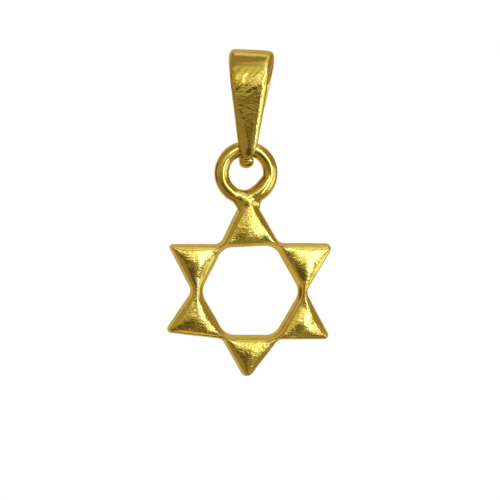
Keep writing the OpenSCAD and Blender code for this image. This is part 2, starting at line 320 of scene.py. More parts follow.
def ease(x, low, high):
    """0 below low, 1 above high and a soft ramp in between."""
    t = np.clip((x - low) / (high - low), 0, 1)
    return t * t * (3 - 2 * t)


def rounded_corner(before, here, after, radius, steps):
    """Points and outward normals of a rounded corner. A hollow corner has a negative radius."""
    n1 = outward(unit(here - before))
    n2 = outward(unit(after - here))
    centre = here - radius * (n1 + n2) / (1 + n1 @ n2)
    start = math.degrees(math.atan2(n1[1], n1[0]))
    sweep = math.degrees(math.atan2(n1[0] * n2[1] - n1[1] * n2[0], n1 @ n2))
    normals = direction(start + sweep * np.linspace(0, 1, steps + 1))
    return centre + radius * normals, normals


def straight(a, b, normal, steps):
    """Points and normals along a straight edge, ends left out."""
    t = np.linspace(0, 1, steps + 1)[1:-1, None]
    return a + (b - a) * t, np.repeat(normal[None], steps - 1, axis=0)


class StarPlan:
    """The star seen from the front: its corners, and its outline and the hole's outline point by point."""

    def __init__(self, star):
        self.tips = direction(POINTS[:, 0]) * (star.reach * POINTS[:, 1])[:, None]
        self.notches = direction(NOTCHES[:, 0]) * (star.reach / math.sqrt(3) * NOTCHES[:, 1])[:, None]
        hole_reach = star.hole_apothem / math.cos(math.radians(30))
        self.corners = direction(HOLE_CORNERS[:, 0]) * (hole_reach * HOLE_CORNERS[:, 1])[:, None]
        half = (1 - TIP_SHARE) / 2
        side = np.concatenate([
            half * np.arange(1, LINE_STEPS) / LINE_STEPS,
            half + TIP_SHARE * np.arange(TIP_STEPS + 1) / TIP_STEPS,
            1 - half + half * np.arange(1, LINE_STEPS) / LINE_STEPS,
        ])
        outer, outer_normals, hole, hole_normals = [], [], [], []
        tips, notches, corners = self.tips, self.notches, self.corners
        for i in range(6):
            before, after, next_after = (i + 5) % 6, (i + 1) % 6, (i + 2) % 6
            tip_radius = star.wall_lean + star.edge_round + star.tip_round * POINTS[i, 2]
            hollow = rounded_corner(tips[before], notches[i], tips[i], -star.notch_round, NOTCH_STEPS)
            tip = rounded_corner(notches[i], tips[i], notches[after], tip_radius, TIP_STEPS)
            close = rounded_corner(tips[i], notches[after], tips[after], -star.notch_round, NOTCH_STEPS)
            rise = straight(hollow[0][-1], tip[0][0], tip[1][0], LINE_STEPS)
            fall = straight(tip[0][-1], close[0][0], close[1][0], LINE_STEPS)
            for points, normals in (hollow, rise, tip, fall):
                outer.append(points)
                outer_normals.append(normals)
            near, far = corners[i], corners[after]
            here = rounded_corner(corners[before], near, far, star.hole_round, NOTCH_STEPS)
            there = rounded_corner(near, far, corners[next_after], star.hole_round, NOTCH_STEPS)
            a, b = here[0][-1], there[0][0]
            hole += [here[0], a + (b - a) * side[:, None]]
            hole_normals += [here[1], np.repeat(here[1][-1:], len(side), axis=0)]
        self.outer, self.outer_normals = np.concatenate(outer), np.concatenate(outer_normals)
        self.hole, self.hole_normals = np.concatenate(hole), np.concatenate(hole_normals)
        sector = np.concatenate([np.zeros(NOTCH_STEPS + 1), np.sin(np.pi * side) ** FULLNESS])
        self.fullness = np.tile(sector, 6)
        self.point_of = np.repeat(np.arange(6), len(sector))


def off_line(p, a, b):
    """Distance of points from the line through two others."""
    return np.abs((p - a) @ outward(unit(b - a)))


def rounded(d, width):
    """Rises steeply from 0 and rounds over to 1 at a width."""
    return 1 - (1 - np.clip(d / width, 0, 1)) ** 2


def face_rise(star, plan, i, p):
    """Height of the face of point i over its edges: a shoulder with a pillow on top."""
    after = (i + 1) % 6
    d0 = off_line(p, plan.tips[i], plan.notches[i]) - star.wall_lean - star.edge_round
    d1 = off_line(p, plan.tips[i], plan.notches[after]) - star.wall_lean - star.edge_round
    d2 = off_line(p, plan.corners[i], plan.corners[after]) - star.hole_lean - star.edge_round
    w = star.shoulder_width
    shoulder = rounded(d0, w) * rounded(d1, w) * rounded(d2, star.bank_width)
    w = star.pillow_width
    pillow = rounded(d0, w) * rounded(d1, w) * rounded(d2, w)
    return star.shoulder_height * shoulder + star.pillow_height * pillow


def neck_rise(star, t, width):
    """The same at a neck, a share t of the way over a width."""
    shoulder = rounded(t * width, star.shoulder_width) * rounded((1 - t) * width, star.bank_width)
    return star.shoulder_height * shoulder + star.pillow_height * 4 * t * (1 - t)


def tilt_fall(star, i, p):
    """How much the front of point i lies lower at a place, from the tilt of the point."""
    out = direction(POINTS[i, 0])
    along = p @ out - star.hole_apothem
    across = out[0] * p[..., 1] - out[1] * p[..., 0]
    return star.tip_fall * (POINTS[i, 3] * along + POINTS[i, 4] * across) / (star.reach - star.hole_apothem)


def star_frame(star, ring, plan):
    """The cast star as a ring of closed sections: vertices and faces, with the front towards -Y."""
    turn = np.linspace(0, math.pi / 2, ROUND_STEPS + 1)[1:]
    lean = np.linspace(0, 1, WALL_STEPS + 1)[1:]
    leaning = np.concatenate([[BACK_INSET, 0], lean ** WALL_BULGE, np.ones(ROUND_STEPS)])
    rounding = np.concatenate([np.zeros(WALL_STEPS + 2), 1 - np.cos(turn)])
    inset_out, inset_in = (
        leaning * amount + rounding * star.edge_round for amount in (star.wall_lean, star.hole_lean))
    wall = BACK_EDGE + (WALL_TOP - BACK_EDGE) * lean
    height = np.concatenate([[0, BACK_EDGE], wall, WALL_TOP + (1 - WALL_TOP) * np.sin(turn)])
    depth = star.edge_depth * (1 - NECK_DROP * (1 - plan.fullness))
    wall_out = plan.outer[:, None] - inset_out[None, :, None] * plan.outer_normals[:, None]
    wall_in = plan.hole[:, None] + inset_in[None, :, None] * plan.hole_normals[:, None]
    start, run = wall_out[:, -1:], wall_in[:, -1:] - wall_out[:, -1:]
    t = (1 - np.cos(np.linspace(0, math.pi, FACE_STEPS + 1)[1:-1])) / 2
    face = start + run * t[None, :, None]
    rise = NECK_RISE * neck_rise(star, t[None], np.linalg.norm(run, axis=2))
    depth_out, depth_in = depth.copy(), depth.copy()
    for i in range(6):
        rows = plan.point_of == i
        full = plan.fullness[rows]
        rise[rows] += (face_rise(star, plan, i, face[rows]) - rise[rows]) * full[:, None]
        depth_out[rows] -= full * tilt_fall(star, i, plan.outer[rows])
        depth_in[rows] -= full * tilt_fall(star, i, plan.hole[rows])
    depth_out, depth_in = depth_out[:, None], depth_in[:, None]
    heights = np.concatenate([
        depth_out * height, depth_out + (depth_in - depth_out) * t + rise, depth_in * height[::-1],
    ], axis=1)
    flat = np.concatenate([wall_out, face, wall_in[:, ::-1]], axis=1)
    back = ring.wire / 2 + star.back_cover
    rings = np.stack([flat[..., 0], back - heights, flat[..., 1]], axis=-1)
    return closed_skin(rings, around=True)


def closed_skin(rings, around=False):
    """Quads over a row of closed rings. The row closes on itself if around is set, or has two caps."""
    n, m = rings.shape[:2]
    rows = np.arange(n if around else n - 1)[:, None]
    cols = np.arange(m)[None]
    after_row, after_col = (rows + 1) % n, (cols + 1) % m
    quads = np.stack([
        rows * m + cols, rows * m + after_col, after_row * m + after_col, after_row * m + cols,
    ], axis=-1)
    faces = [list(q) for q in quads.reshape(-1, 4).tolist()]
    if not around:
        faces.append(list(range(m - 1, -1, -1)))
        faces.append(list(range((n - 1) * m, n * m)))
    return rings.reshape(-1, 3), faces


def swelling(turns, place):
    """How much fuller the ring's wire is round a place, as a share of its half thickness."""
    angle, start, share = place
    return share * ease(np.cos(np.radians(turns - angle)), start, 1)


def ring_shape(ring, centre):
    """The hanging ring: a round wire, fuller at its foot and inside at the lower right, from solder."""
    turns = 360 * np.arange(RING_STEPS) / RING_STEPS
    fill = swelling(turns, RING_FILL)
    wire = ring.wire / 2 * (1 + swelling(turns, RING_FOOT) + fill)
    middle = ring.diameter / 2 - ring.wire / 2 * fill
    across = circle(WIRE_STEPS)
    out = middle[:, None] + wire[:, None] * across[None, :, 0]
    rings = np.stack([
        out * np.cos(np.radians(turns))[:, None],
        wire[:, None] * across[None, :, 1],
        out * np.sin(np.radians(turns))[:, None],
    ], axis=-1)
    return closed_skin(rings + np.array(centre), around=True)


def rod(start, end, start_radius, end_radius):
    """A short tapered bar between two places."""
    way = (end - start).to_track_quat("Z", "Y").to_matrix()
    rings = []
    for place, radius in ((start, start_radius), (end, end_radius)):
        rings.append([place + way @ Vector((radius * x, radius * y, 0)) for x, y in circle(SOLDER_STEPS)])
    return closed_skin(np.array(rings))


def solder_shapes(star, ring, plan, star_at, ring_at):
    """Solder in the two corners where the ring meets the top point."""
    z = ring_at.z - ring.diameter / 2 - ring.wire / 2 - ring.solder_drop - star_at.z
    reach = ring.diameter / 2 + ring.wire / 2 * (1 - SOLDER_TOP) - SOLDER_SINK
    shapes = []
    for side in (0, 1):
        angle = math.radians(270 + (-1 if side else 1) * SOLDER_ANGLE)
        tip, notch = plan.tips[TOP_POINT], plan.notches[(TOP_POINT + side) % 6]
        x = tip[0] + (notch[0] - tip[0]) * (z - tip[1]) / (notch[1] - tip[1])
        x += (1 if side else -1) * (ring.wire / 2 * SOLDER_LOW + star.wall_lean)
        high = ring_at + reach * Vector((math.cos(angle), 0, math.sin(angle)))
        low = star_at + Vector((x, 0, z))
        shapes.append(rod(high, low, ring.wire / 2 * SOLDER_TOP, ring.wire / 2 * SOLDER_LOW))
    return shapes


def drop(centre, radii):
    """A drop of solder: an ellipsoid."""
    around = circle(SOLDER_STEPS)
    tall = direction(np.linspace(-DROP_END, DROP_END, DROP_ROWS))
    rings = [np.concatenate([c * around, np.full((len(around), 1), z)], axis=1) for c, z in tall]
    return closed_skin(np.array(rings) * np.array(radii) + np.array(centre))


def mesh_from(name, shapes, scale=1.0):
    """One mesh from several (vertices, faces) shapes."""
    vertices, faces, count = [], [], 0
    for points, quads in shapes:
        vertices.append(np.asarray(points) * scale)
        faces += [[v + count for v in face] for face in quads]
        count += len(points)
    mesh = bpy.data.meshes.new(name)
    mesh.from_pydata(np.concatenate(vertices).tolist(), [], faces)
    mesh.validate()
    return mesh


def fused(name, shapes, voxel):
    """One skin round overlapping closed shapes. It is worked in mm, because voxels have a smallest size."""
    mesh = mesh_from(name, shapes, 1 / MM)
    thing = bpy.data.objects.new(name, mesh)
    bpy.context.scene.collection.objects.link(thing)
    skin = thing.modifiers.new("Skin", "REMESH")
    skin.mode = "VOXEL"
    skin.voxel_size = voxel / MM
    shown = thing.evaluated_get(bpy.context.evaluated_depsgraph_get())
    made = bpy.data.meshes.new_from_object(shown)
    bpy.data.objects.remove(thing)
    bpy.data.meshes.remove(mesh)
    made.transform(Matrix.Scale(MM, 4))
    return made


def points_of(mesh):
    co = np.zeros(len(mesh.vertices) * 3, np.float32)
    mesh.vertices.foreach_get("co", co)
    return co.reshape(-1, 3).astype(float)


def normals_of(mesh):
    n = np.zeros(len(mesh.vertices) * 3, np.float32)
    mesh.vertex_normals.foreach_get("vector", n)
    return n.reshape(-1, 3).astype(float)


def put_points(mesh, points):
    mesh.vertices.foreach_set("co", points.astype(np.float32).ravel())
    mesh.update()


def relax(mesh, points, weight, rounds, back=0.0):
    """Moves points towards their neighbours' middle, each by its weight. back undoes the shrinking."""
    edges = np.zeros(len(mesh.edges) * 2, np.int32)
    mesh.edges.foreach_get("vertices", edges)
    a, b = edges.reshape(-1, 2).T
    n = len(points)
    count = np.maximum(np.bincount(a, minlength=n) + np.bincount(b, minlength=n), 1)[:, None]
    for _ in range(rounds):
        for push in ((weight, -back * weight) if back else (weight,)):
            sums = np.stack([
                np.bincount(a, points[b, k], n) + np.bincount(b, points[a, k], n) for k in range(3)
            ], axis=1)
            points = points + (sums / count - points) * np.reshape(push, (-1, 1))
    return points


def uneven(points, size, seed):
    """Smooth noise from -1 to 1 at the points, with lumps of about the given size."""
    shift = seed * NOISE_WAY
    return np.array([noise.noise(Vector(p) + shift) for p in (points / size).tolist()])


def smooth_faces(mesh):
    mesh.polygons.foreach_set("use_smooth", np.ones(len(mesh.polygons), bool))
    mesh.update()


def star_places(star, ring, plan):
    """Where the star's middle and the ring's middle are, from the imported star's box."""
    low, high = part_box("star")
    ring_z = high.z - ring.diameter / 2 - ring.wire / 2
    star_x = low.x - plan.outer[:, 0].min()
    star_z = low.z - plan.outer[:, 1].min()
    return Vector((star_x, 0, star_z)), Vector((star_x - ring.aside, 0, ring_z))


def star_mesh(star, ring):
    """The star with its ring and solder as one skin, softened where they join and wrinkled by hand."""
    plan = StarPlan(star)
    star_at, ring_at = star_places(star, ring, plan)
    points, faces = star_frame(star, ring, plan)
    shapes = [(points + np.array(star_at), faces), ring_shape(ring, ring_at)]
    shapes += solder_shapes(star, ring, plan, star_at, ring_at)
    foot = ring_at - Vector((0, 0, ring.diameter / 2))
    shapes.append(drop(foot + DROP_PLACE, DROP_RADII))
    mesh = fused("star_with_ring", shapes, star.voxel)
    points = points_of(mesh)
    points = relax(mesh, points, np.full(len(points), SOFT_STEP), SOFT_ROUNDS, back=SOFT_BACK)
    near = 1 - ease(np.linalg.norm(points - np.array(foot), axis=1), FOOT_NEAR, FOOT_FAR)
    points = relax(mesh, points, SOFT_STEP * near, FOOT_ROUNDS)
    put_points(mesh, points)
    skin = 1 - RING_CALM * ease(points[:, 2], foot.z - RING_CALM_FADE, foot.z)
    rough = star.unevenness * uneven(points, *STAR_BROAD)
    rough += star.wrinkle * skin * uneven(points, *STAR_FINE)
    put_points(mesh, points + normals_of(mesh) * rough[:, None])
    smooth_faces(mesh)
    return mesh


def strap_section(width, thickness, roundness):
    """One closed section of the strap as across and outward distances, bevelled or nearly oval."""
    sides = STRAP_SECTION[1:]
    last = len(sides) - 1
    angle = np.radians(OVAL_START + (90 - OVAL_START) * np.arange(last + 1) / last)
    oval = np.stack([np.cos(angle), (1 + np.sin(angle)) / 2], axis=-1)
    oval[0, 1] = 0
    oval[-1] = [0, 1]
    half = sides + (oval - sides) * roundness
    full = np.concatenate([half, half[-2::-1] * [-1, 1]])
    closed = np.concatenate([full, full[:1]])
    gaps = np.linalg.norm(np.diff(closed, axis=0) * [width / 2, thickness], axis=1)
    along = np.concatenate([[0], np.cumsum(gaps)])
    at = np.linspace(0, along[-1], SECTION_STEPS + 1)[:-1]
    ring = np.stack([np.interp(at, along, closed[:, 0]), np.interp(at, along, closed[:, 1])], axis=-1)
    for _ in range(SECTION_ROUNDS):
        ring = 0.5 * ring + 0.25 * (np.roll(ring, 1, axis=0) + np.roll(ring, -1, axis=0))
    return ring * [width / 2, thickness]


def strap_stations(bail, ring):
    """Rows along the strap: place on its inner face, angle of its normal, width, thickness, roundness."""
    hook_r = ring.wire / 2 + bail.side_play
    hook_z = -bail.drop + bail.side_play - bail.seat_play
    bend_r, ease_r = bail.bend_radius, bail.ease_radius
    ease_y = (ease_r - bend_r) * math.cos(math.radians(EASE_ANGLE))
    ease_z = -bend_r - (ease_r - bend_r) * math.sin(math.radians(EASE_ANGLE))
    reach = math.hypot(ease_z - hook_z, ease_y)
    slope = math.degrees(math.atan2(ease_z - hook_z, ease_y) - math.acos((ease_r - hook_r) / reach))

    def width_at(z):
        return bail.foot_width + (bail.top_width - bail.foot_width) * max(0, (z + bail.drop) / bail.drop)

    def on_arc(r, z, angle, y=0.0):
        return np.array([y, z]) + r * direction(angle)

    front_top, front_wire = on_arc(ease_r, ease_z, 180 + slope, ease_y), on_arc(hook_r, hook_z, 180 + slope)
    down = unit(front_wire - front_top)
    foot_drop = hook_r - bail.foot_short
    foot_end = front_top + down * (front_top[1] + bail.drop + foot_drop)
    rows = []
    for s in np.linspace(0, 1, FOOT_STEPS) ** FOOT_CROWD:
        p = foot_end - down * bail.foot_length * s
        width, thickness = np.interp(s, FOOT[:, 0], FOOT[:, 1]), np.interp(s, FOOT[:, 0], FOOT[:, 2])
        rows.append([*p, 180 + slope, width * width_at(p[1]), thickness * bail.thickness, 0])
    start = foot_end - down * bail.foot_length
    for s in np.linspace(0, 1, LEG_STEPS)[1:-1]:
        p = start + (front_top - start) * s
        rows.append([*p, 180 + slope, width_at(p[1]), bail.thickness, 0])
    for r, y, z, start, end in (
        (ease_r, ease_y, ease_z, 180 + slope, 180 - EASE_ANGLE),
        (bend_r, 0, -bend_r, 180 - EASE_ANGLE, EASE_ANGLE),
        (ease_r, -ease_y, ease_z, EASE_ANGLE, -slope),
    ):
        for a in np.linspace(start, end, BEND_STEPS)[:-1]:
            p = on_arc(r, z, a, y)
            rows.append([*p, a, width_at(p[1]), bail.thickness, 0])
    back_top, back_end = on_arc(ease_r, ease_z, -slope, -ease_y), on_arc(hook_r, hook_z, -slope)
    for s in np.linspace(0, 1, LEG_STEPS)[:-1]:
        p = back_top + (back_end - back_top) * s
        late = s ** HOOK_LATE
        narrow = 1 - (1 - HOOK[0, 1]) * late
        rows.append([*p, -slope, width_at(p[1]) * narrow, bail.thickness, HOOK[0, 3] * late])
    for s in np.linspace(0, 1, HOOK_STEPS):
        a = -slope - HOOK_SWEEP * s
        width, thickness, roundness = (np.interp(s, HOOK[:, 0], HOOK[:, k]) for k in (1, 2, 3))
        size = (width * bail.foot_width, thickness * bail.hook_thickness)
        rows.append([*on_arc(hook_r, hook_z, a), a, *size, roundness])
    rows = np.array(rows)
    for _ in range(STRAP_ROUNDS):
        rows[1:-1, 3:] = 0.5 * rows[1:-1, 3:] + 0.25 * (rows[2:, 3:] + rows[:-2, 3:])
    return rows


def filed_left(section, width, bail, z):
    """The front leg's section with its left side filed down, the further in the nearer to the foot."""
    share = ease(-z / bail.drop, bail.filed_start, 1.0)
    past = -width / 2 * (1 - share) - section[:, 0]
    low = bail.filed_slope * np.sqrt(share) * (past + np.hypot(past, RIDGE_ROUND) - RIDGE_ROUND) / 2
    return section - np.stack([0 * low, low * np.clip(section[:, 1] / bail.thickness, 0, 1)], axis=-1)


def turned_and_leaning(bail, rings):
    """The strap's sections twisted more and more towards the top, and leaning to one side as a whole."""
    up = np.minimum(1, (rings[..., 2] + bail.drop) / bail.drop)
    turn = -(bail.foot_turn + (bail.top_turn - bail.foot_turn) * up)
    x = rings[..., 0] * np.cos(turn) - rings[..., 1] * np.sin(turn)
    y = rings[..., 0] * np.sin(turn) + rings[..., 1] * np.cos(turn)
    lean = np.array(Matrix.Rotation(bail.lean, 3, "Y"))
    return np.stack([x, y, rings[..., 2]], axis=-1) @ lean.T


def bail_mesh(bail, ring):
    """The strap bail, folded over the chain and hooked under the ring."""
    rings = []
    for y, z, angle, width, thickness, roundness in strap_stations(bail, ring):
        section = strap_section(width, thickness, roundness)
        if angle > 90:
            section = filed_left(section, width, bail, z)
        out = direction(angle)
        across, up = section.T
        rings.append(np.stack([across, y + up * out[0], z + up * out[1]], axis=-1))
    points, faces = closed_skin(turned_and_leaning(bail, np.array(rings)))
    # The sections run the other way round than the star's, so the faces are turned outward
    mesh = mesh_from("bail", [(points, [face[::-1] for face in faces])])
    points = points_of(mesh)
    worn = bail.unevenness * (1 + uneven(points, *BAIL_BROAD))
    worn += bail.wrinkle * (1 + uneven(points, *BAIL_FINE))
    begin, full, fade, end = RIPPLE_HEIGHTS
    rippled = ease(points[:, 2], begin, full) * (1 - ease(points[:, 2], fade, end))
    rippled *= ease(-points[:, 1], 0, RIPPLE_FADE)
    worn += bail.hand_marks * rippled * uneven(points @ SLANT, *BAIL_RIPPLES)
    put_points(mesh, points - normals_of(mesh) * worn[:, None])
    smooth_faces(mesh)
    return mesh


def show(name, mesh, body, node, material):
    """Puts a finished mesh in the scene as the piece that stands for a node."""
    piece = bpy.data.objects.new(name, mesh)
    bpy.context.scene.collection.objects.link(piece)
    mesh.materials.append(material)
    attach(piece, body)
    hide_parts(node)
    return piece


def new_group(name, inputs, outputs):
    """An empty shader node group with named inputs and outputs."""
    group = bpy.data.node_groups.new(name, "ShaderNodeTree")
    for label, kind, value in inputs:
        socket = group.interface.new_socket(label, in_out="INPUT", socket_type=kind)
        socket.default_value = value
    for label, kind in outputs:
        group.interface.new_socket(label, in_out="OUTPUT", socket_type=kind)
    return group, group.nodes.new("NodeGroupInput"), group.nodes.new("NodeGroupOutput")


def add_node(tree, kind, values=None, links=None):
    """A node with some sockets set and some fed from other nodes' outputs."""
    node = tree.nodes.new(kind)
    for key, value in (values or {}).items():
        if isinstance(key, str) and hasattr(node, key):
            setattr(node, key, value)
        else:
            node.inputs[key].default_value = value
    for key, source in (links or {}).items():
        tree.links.new(source, node.inputs[key])
    return node


def feed(tree, socket, source):
    """Gives a socket a plain value or another node's output."""
    if isinstance(source, bpy.types.NodeSocket):
        tree.links.new(source, socket)
    else:
        socket.default_value = source


def worked_out(tree, operation, *terms):
    """Result of a sum on plain numbers or other nodes' outputs."""
    node = add_node(tree, "ShaderNodeMath", {"operation": operation})
    for socket, term in zip(node.inputs, terms):
        feed(tree, socket, term)
    return node.outputs[0]


def ramp(tree, value, low, high, start=0.0, end=1.0):
    """A value moved from the range low to high into start to end, and held at its ends."""
    node = add_node(tree, "ShaderNodeMapRange", {"To Min": start, "To Max": end}, {"Value": value})
    feed(tree, node.inputs["From Min"], low)
    feed(tree, node.inputs["From Max"], high)
    return node.outputs[0]


def colour_mix(tree, share, a, b):
    """The colour a, with b mixed in by a share."""
    node = add_node(tree, "ShaderNodeMix", {"data_type": "RGBA"}, {0: share})
    feed(tree, node.inputs[MIX_A], a)
    feed(tree, node.inputs[MIX_B], b)
    return node.outputs[MIX_RESULT]


def noise_at(tree, place, scale, detail, roughness):
    return add_node(tree, "ShaderNodeTexNoise", {
        "Scale": scale, "Detail": detail, "Roughness": roughness,
    }, {"Vector": place}).outputs[0]


def file_marks(group, in_mm, patches):
    """Fine streaks that run one way in some patches and another way in the others."""
    streaks = []
    for angle, seed in MARK_WAYS:
        turned = add_node(group, "ShaderNodeMapping", {
            "Rotation": (0, angle, 0), "Scale": MARK_STRETCH, "Location": (seed, seed, seed),
        }, {"Vector": in_mm})
        streaks.append(noise_at(group, turned.outputs[0], *MARK_NOISE))
    chosen = ramp(group, patches, *MARKS_TURN)
    return add_node(group, "ShaderNodeMix", {}, {0: chosen, 2: streaks[0], 3: streaks[1]}).outputs[0]


def kept_skin(group, given, in_mm, patches):
    """Where the skin has kept its wrinkles: on the flat side, more in some patches, and below a height."""
    facing = add_node(group, "ShaderNodeVectorMath", {"operation": "DOT_PRODUCT"}, {
        0: add_node(group, "ShaderNodeTexCoord").outputs["Normal"], 1: given["Flat Side"],
    }).outputs["Value"]
    facing = worked_out(group, "ABSOLUTE", facing)
    full_from = worked_out(group, "ADD", given["Smooth Beyond"], RUBBED_SOFT)
    flat = ramp(group, facing, given["Smooth Beyond"], full_from, RUBBED_SHARE)
    some = ramp(group, patches, *WRINKLED_PATCHES)
    height = add_node(group, "ShaderNodeSeparateXYZ", {}, {0: in_mm}).outputs["Z"]
    over = worked_out(group, "SUBTRACT", height, given["Smooth Above"])
    low = ramp(group, over, *WRINKLED_BELOW)
    return worked_out(group, "MULTIPLY", worked_out(group, "MULTIPLY", flat, some), low)


def polished_skin_group():
    """Hand-polished cast gold: an orange-peel skin, grain and file marks, with their colour and polish, and
    painted shade in the pits.
    """
    name = "Hand-Polished Skin"
    if name in bpy.data.node_groups:
        return bpy.data.node_groups[name]
    group, given, result = new_group(
        name,
        [
            ("Gold", "NodeSocketColor", (0.6, 0.43, 0.1, 1)),
            ("Deep Gold", "NodeSocketColor", (0.5, 0.33, 0.06, 1)),
            ("Painted Pit Shade", "NodeSocketColor", (0.3, 0.2, 0.03, 1)),
            ("Polish", "NodeSocketFloat", 0.16),
            ("Dullness", "NodeSocketFloat", 0.14),
            ("Peel", "NodeSocketFloat", 0.004),
            ("Grain", "NodeSocketFloat", 0.001),
            ("Scratches", "NodeSocketFloat", 0.002),
            ("Flat Side", "NodeSocketVector", (0, -1, 0)),
            ("Smooth Beyond", "NodeSocketFloat", 0.93),
            ("Smooth Above", "NodeSocketFloat", 0.0),
        ],
        [("Color", "NodeSocketColor"), ("Roughness", "NodeSocketFloat"), ("Height", "NodeSocketFloat")],
    )
    given = given.outputs
    place = add_node(group, "ShaderNodeTexCoord").outputs["Object"]
    in_mm = add_node(group, "ShaderNodeVectorMath", {
        "operation": "SCALE", "Scale": 1 / MM,
    }, {0: place}).outputs[0]
    swept = add_node(group, "ShaderNodeMapping", {
        "Rotation": SKIN_TURN, "Scale": SKIN_STRETCH,
    }, {"Vector": in_mm}).outputs[0]
    peel = noise_at(group, swept, *PEEL_NOISE)
    grain = noise_at(group, swept, *GRAIN_NOISE)
    patches = noise_at(group, in_mm, *PATCH_NOISE)

    total = worked_out(group, "MULTIPLY", peel, given["Peel"])
    total = worked_out(group, "MULTIPLY_ADD", grain, given["Grain"], total)
    total = worked_out(group, "MULTIPLY_ADD", file_marks(group, in_mm, patches), given["Scratches"], total)
    height = worked_out(group, "MULTIPLY", total, kept_skin(group, given, in_mm, patches))
    group.links.new(height, result.inputs["Height"])

    dull = ramp(group, peel, *DULL_PEEL)
    rough = worked_out(group, "MULTIPLY_ADD", dull, given["Dullness"], given["Polish"])
    group.links.new(rough, result.inputs["Roughness"])

    plate = colour_mix(group, ramp(group, patches, *DEEP_PATCHES), given["Gold"], given["Deep Gold"])
    # Where the grain is low the colour turns darker: painted shade in the pits of the skin
    pit_shaded = colour_mix(group, ramp(group, grain, *GRAIN_PIT_SHADE), plate, given["Painted Pit Shade"])
    group.links.new(pit_shaded, result.inputs["Color"])
    return group


def gold_material(name, finish, face):
    """Gold plate over brass with the hand-polished skin, at the depths that a finish gives."""
    azimuth, elevation, spread, smooth_above, depth = face
    material = bpy.data.materials.new(name)
    material.use_nodes = True
    tree = material.node_tree
    shader = tree.nodes["Principled BSDF"]
    shader.inputs["Metallic"].default_value = 1.0
    shader.inputs["Coat Weight"].default_value = finish.lacquer
    shader.inputs["Coat Roughness"].default_value = LACQUER_ROUGHNESS
    shader.inputs["Specular Tint"].default_value = (*finish.edge_gold, 1)
    skin = tree.nodes.new("ShaderNodeGroup")
    skin.node_tree = polished_skin_group()
    for label, value in (
        ("Gold", (*finish.gold, 1)),
        ("Deep Gold", (*finish.deep_gold, 1)),
        ("Painted Pit Shade", (*finish.painted_pit_shade, 1)),
        ("Polish", finish.polish),
        ("Dullness", finish.dullness),
        ("Peel", depth * finish.peel / MM),
        ("Grain", depth * finish.grain / MM),
        ("Scratches", depth * finish.scratches / MM),
        ("Flat Side", toward(azimuth, elevation)),
        ("Smooth Beyond", math.cos(math.radians(spread))),
        ("Smooth Above", smooth_above),
    ):
        skin.inputs[label].default_value = value
    bump = add_node(tree, "ShaderNodeBump", {
        "Strength": 1.0, "Distance": MM,
    }, {"Height": skin.outputs["Height"]})
    tree.links.new(skin.outputs["Color"], shader.inputs["Base Color"])
    tree.links.new(skin.outputs["Roughness"], shader.inputs["Roughness"])
    tree.links.new(bump.outputs[0], shader.inputs["Normal"])
    return material


def pale_floor_material():
    """Matt white board with a faint tooth."""
    material = bpy.data.materials.new("white_board")
    material.use_nodes = True
    tree = material.node_tree
    shader = tree.nodes["Principled BSDF"]
    tooth = add_node(tree, "ShaderNodeTexNoise", {"Scale": 400.0, "Detail": 2.0}).outputs[0]
    tone = ramp(tree, tooth, 0.0, 1.0, 0.86, 0.9)
    white = add_node(tree, "ShaderNodeCombineColor", {}, {0: tone, 1: tone, 2: tone})
    tree.links.new(white.outputs[0], shader.inputs["Base Color"])
    shader.inputs["Roughness"].default_value = 0.8
    shader.inputs["Emission Color"].default_value = (1, 1, 1, 1)
    shader.inputs["Emission Strength"].default_value = 0.4
    return material


def toward(azimuth, elevation):
    """Unit vector to a place round the pendant: azimuth 0 is in front, at -Y, and 90 is at +X."""
    a, e = math.radians(azimuth), math.radians(elevation)
    return Vector((math.sin(a) * math.cos(e), -math.cos(a) * math.cos(e), math.sin(e)))


def make_floor(stage):
    mesh = bpy.data.meshes.new("floor")
    half = stage.floor_size / 2
    corners = [(-half, -half, 0), (half, -half, 0), (half, half, 0), (-half, half, 0)]
    mesh.from_pydata(corners, [], [(0, 1, 2, 3)])
    floor = bpy.data.objects.new("floor", mesh)
    floor.location = (0, 0, -stage.floor_drop)
    mesh.materials.append(pale_floor_material())
    bpy.context.scene.collection.objects.link(floor)
    floor.visible_glossy = False
    return floor


def beside_camera(stage, azimuth, elevation):
    """Unit vector to a place as the camera sees it from the pendant: azimuth to its right, elevation up."""
    back = toward(math.degrees(stage.camera_azimuth), math.degrees(stage.camera_elevation))
    right = Vector((0, 0, 1)).cross(back).normalized()
    a, e = math.radians(azimuth), math.radians(elevation)
    level = right * math.sin(a) + back * math.cos(a)
    return level * math.cos(e) + back.cross(right) * math.sin(e)


def make_world(stage):
    """Studio tent: an even tone with large soft cards round the pendant, for the gold to reflect."""
    world = bpy.data.worlds.new("studio")
    bpy.context.scene.world = world
    world.use_nodes = True
    tree = world.node_tree
    tree.nodes.clear()
    way = add_node(tree, "ShaderNodeTexCoord").outputs["Generated"]
    tone = add_node(tree, "ShaderNodeRGB").outputs[0]
    tone.default_value = (*stage.tent_colour, 1)
    for azimuth, elevation, inner, outer, card in CARDS:
        lined_up = add_node(tree, "ShaderNodeVectorMath", {
            "operation": "DOT_PRODUCT", 1: tuple(beside_camera(stage, azimuth, elevation)),
        }, {0: way})
        mask = add_node(tree, "ShaderNodeMapRange", {
            "interpolation_type": "SMOOTHSTEP",
            "From Min": math.cos(math.radians(outer)), "From Max": math.cos(math.radians(inner)),
        }, {"Value": lined_up.outputs["Value"]})
        tone = colour_mix(tree, mask.outputs[0], tone, (*card, 1))
    seen = add_node(tree, "ShaderNodeLightPath").outputs["Is Camera Ray"]
    plain = colour_mix(tree, seen, tone, (1, 1, 1, 1))
    sky = add_node(tree, "ShaderNodeBackground", {"Strength": 1.0}, {"Color": plain})
    out = tree.nodes.new("ShaderNodeOutputWorld")
    tree.links.new(sky.outputs[0], out.inputs[0])


